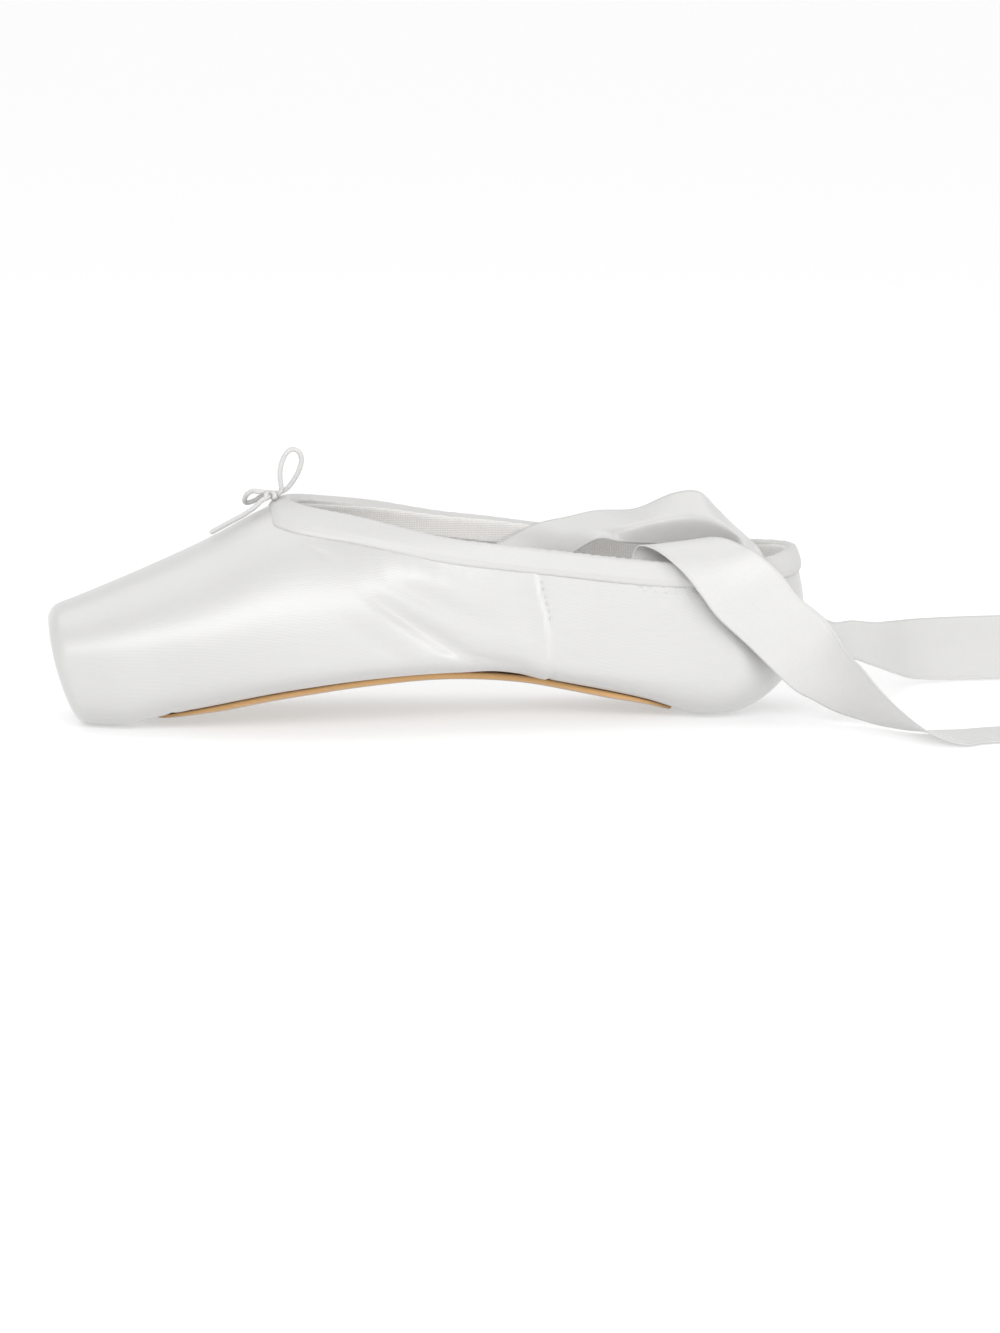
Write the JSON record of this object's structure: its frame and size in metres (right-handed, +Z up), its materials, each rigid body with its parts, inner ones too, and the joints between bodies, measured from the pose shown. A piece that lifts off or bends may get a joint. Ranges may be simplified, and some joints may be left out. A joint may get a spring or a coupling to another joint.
{
  "type": "pointe shoe",
  "caption": "Satin pointe shoe with stiff toe box, flat platform, short leather sole, drawstring bow and two loose ribbons, standing empty.",
  "frame": {"origin": "on the floor, under the middle of the shoe's length and width, ribbons and drawstring bow left out", "axes": "+X from toe to heel, +Z up, -Y the side with the ribbon that is turned out over the collar"},
  "size_m": [0.3377, 0.1184, 0.0841],
  "materials": {
    "satin": "white shoe satin, soft gloss",
    "satin_casing": "white satin, cut on the bias, soft gloss",
    "ribbon": "white satin ribbon, woven edges",
    "drawstring": "white braided elastic",
    "sole_leather": "tan split leather, matt, smooth edge",
    "sock": "off-white cotton"
  },
  "bodies": {
    "root": {"upper": "satin", "outsole": "sole_leather", "insole": "sock", "collar_binding": "satin_casing", "drawstring_knot": "drawstring", "drawstring_loop_up": "drawstring", "drawstring_loop_flat": "drawstring", "drawstring_tail": "drawstring", "ribbon_near": "ribbon", "ribbon_far": "ribbon"}
  },
  "joints": []
}
